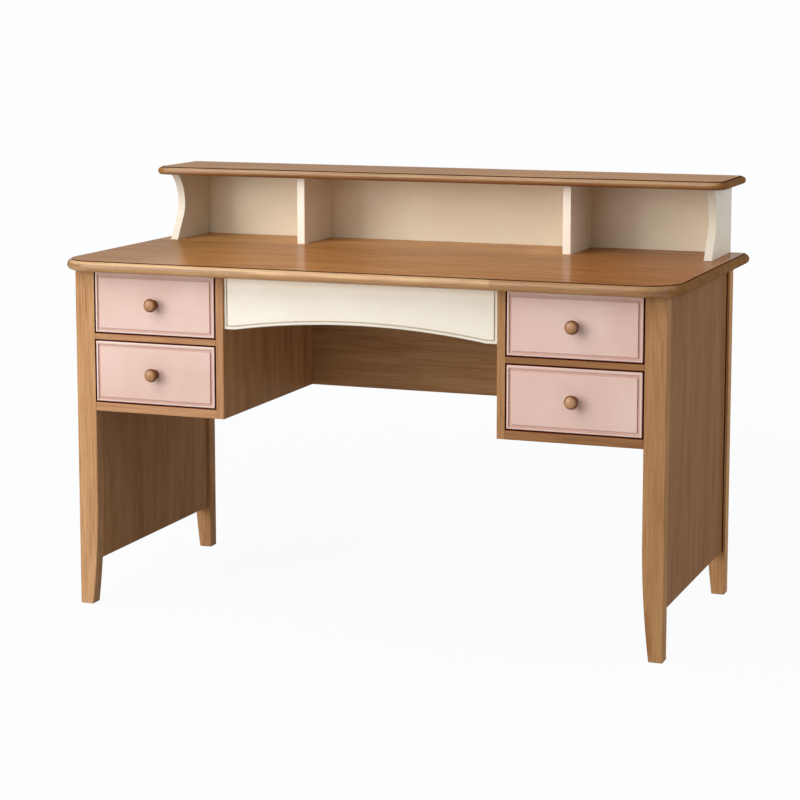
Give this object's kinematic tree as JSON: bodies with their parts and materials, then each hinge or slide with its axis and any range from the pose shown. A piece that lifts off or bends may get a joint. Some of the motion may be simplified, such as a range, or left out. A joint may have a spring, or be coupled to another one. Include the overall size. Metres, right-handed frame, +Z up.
{
  "type": "student desk with hutch",
  "caption": "Wooden kneehole desk with painted drawers on both sides, an arched apron and a low open hutch with scooped end brackets.",
  "frame": {"origin": "centre of the bounding box's footprint, on the floor", "axes": "+X to the right of someone sitting at the desk, +Y from the sitter to the desk's back, +Z up"},
  "size_m": [1.364, 0.66, 0.93],
  "materials": {
    "honey_wood": "satin-lacquered honey-brown hardwood",
    "cream_paint": "wood with satin cream paint",
    "pink_paint": "wood with satin pale pink paint",
    "drawer_box_wood": "pale birch with clear varnish",
    "slide_steel": "zinc-plated pressed steel"
  },
  "bodies": {
    "desk_frame": {"desktop": "honey_wood", "left_front_leg": "honey_wood", "right_front_leg": "honey_wood", "left_rear_leg": "honey_wood", "right_rear_leg": "honey_wood", "left_side_panel": "honey_wood", "right_side_panel": "honey_wood", "left_inner_panel": "honey_wood", "right_inner_panel": "honey_wood", "left_drawer_divider": "honey_wood", "right_drawer_divider": "honey_wood", "left_pedestal_bottom": "honey_wood", "right_pedestal_bottom": "honey_wood", "modesty_panel": "honey_wood", "rear_rail": "honey_wood", "hutch_top": "honey_wood", "apron": "cream_paint", "left_hutch_bracket": "cream_paint", "right_hutch_bracket": "cream_paint", "left_hutch_divider": "cream_paint", "right_hutch_divider": "cream_paint", "hutch_back_panel": "cream_paint", "left_runner_board": "drawer_box_wood", "right_runner_board": "drawer_box_wood", "left_upper_cabinet_slides": "slide_steel", "left_lower_cabinet_slides": "slide_steel", "right_upper_cabinet_slides": "slide_steel", "right_lower_cabinet_slides": "slide_steel"},
    "left_upper_drawer": {"left_upper_drawer_front": "pink_paint", "left_upper_drawer_left_side": "drawer_box_wood", "left_upper_drawer_right_side": "drawer_box_wood", "left_upper_drawer_back": "drawer_box_wood", "left_upper_drawer_bottom": "drawer_box_wood", "left_upper_knob": "honey_wood", "left_upper_drawer_slides": "slide_steel"},
    "left_upper_middle_slides": {"left_upper_middle_slides": "slide_steel"},
    "left_lower_drawer": {"left_lower_drawer_front": "pink_paint", "left_lower_drawer_left_side": "drawer_box_wood", "left_lower_drawer_right_side": "drawer_box_wood", "left_lower_drawer_back": "drawer_box_wood", "left_lower_drawer_bottom": "drawer_box_wood", "left_lower_knob": "honey_wood", "left_lower_drawer_slides": "slide_steel"},
    "left_lower_middle_slides": {"left_lower_middle_slides": "slide_steel"},
    "right_upper_drawer": {"right_upper_drawer_front": "pink_paint", "right_upper_drawer_left_side": "drawer_box_wood", "right_upper_drawer_right_side": "drawer_box_wood", "right_upper_drawer_back": "drawer_box_wood", "right_upper_drawer_bottom": "drawer_box_wood", "right_upper_knob": "honey_wood", "right_upper_drawer_slides": "slide_steel"},
    "right_upper_middle_slides": {"right_upper_middle_slides": "slide_steel"},
    "right_lower_drawer": {"right_lower_drawer_front": "pink_paint", "right_lower_drawer_left_side": "drawer_box_wood", "right_lower_drawer_right_side": "drawer_box_wood", "right_lower_drawer_back": "drawer_box_wood", "right_lower_drawer_bottom": "drawer_box_wood", "right_lower_knob": "honey_wood", "right_lower_drawer_slides": "slide_steel"},
    "right_lower_middle_slides": {"right_lower_middle_slides": "slide_steel"}
  },
  "joints": [
    {"name": "left_upper_drawer_slide", "type": "slide", "parent": "desk_frame", "child": "left_upper_drawer", "axis": [0, -1, 0], "range_m": [0, 0.36]},
    {"name": "left_upper_middle_slide", "type": "slide", "parent": "desk_frame", "child": "left_upper_middle_slides", "axis": [0, -1, 0], "range_m": [0, 0.18]},
    {"name": "left_lower_drawer_slide", "type": "slide", "parent": "desk_frame", "child": "left_lower_drawer", "axis": [0, -1, 0], "range_m": [0, 0.36]},
    {"name": "left_lower_middle_slide", "type": "slide", "parent": "desk_frame", "child": "left_lower_middle_slides", "axis": [0, -1, 0], "range_m": [0, 0.18]},
    {"name": "right_upper_drawer_slide", "type": "slide", "parent": "desk_frame", "child": "right_upper_drawer", "axis": [0, -1, 0], "range_m": [0, 0.36]},
    {"name": "right_upper_middle_slide", "type": "slide", "parent": "desk_frame", "child": "right_upper_middle_slides", "axis": [0, -1, 0], "range_m": [0, 0.18]},
    {"name": "right_lower_drawer_slide", "type": "slide", "parent": "desk_frame", "child": "right_lower_drawer", "axis": [0, -1, 0], "range_m": [0, 0.36]},
    {"name": "right_lower_middle_slide", "type": "slide", "parent": "desk_frame", "child": "right_lower_middle_slides", "axis": [0, -1, 0], "range_m": [0, 0.18]}
  ],
  "couplings": [
    {"joint": "left_upper_middle_slide", "follows": "left_upper_drawer_slide", "ratio": 0.5},
    {"joint": "left_lower_middle_slide", "follows": "left_lower_drawer_slide", "ratio": 0.5},
    {"joint": "right_upper_middle_slide", "follows": "right_upper_drawer_slide", "ratio": 0.5},
    {"joint": "right_lower_middle_slide", "follows": "right_lower_drawer_slide", "ratio": 0.5}
  ]
}
